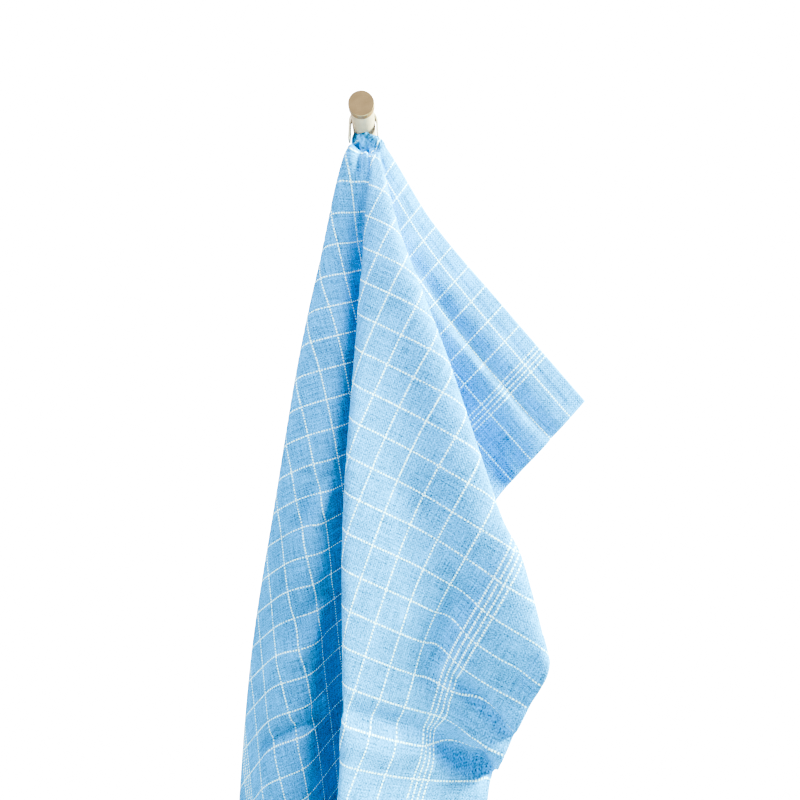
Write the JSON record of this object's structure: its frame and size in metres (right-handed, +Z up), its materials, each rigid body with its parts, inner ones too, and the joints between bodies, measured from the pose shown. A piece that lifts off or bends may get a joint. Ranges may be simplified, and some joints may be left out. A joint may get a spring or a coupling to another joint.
{
  "type": "tea towel on a wall hook",
  "caption": "Cotton tea towel in a woven check, hung by a short tape loop at the middle of its top edge from a plain round wall hook, falling in long uneven folds.",
  "frame": {"origin": "centre of the hook's flat wall face", "axes": "+Z up, +Y into the wall, -Y towards the room, +X to the right seen from the room"},
  "size_m": [0.2507, 0.1046, 0.8073],
  "materials": {
    "cotton": "matt woven cotton, light blue with thin white check lines",
    "tape": "matt cotton tape, natural",
    "hook_metal": "satin champagne-coloured metal"
  },
  "bodies": {
    "root": {"towel": "cotton", "hanging_loop": "tape", "hook": "hook_metal"}
  },
  "joints": []
}
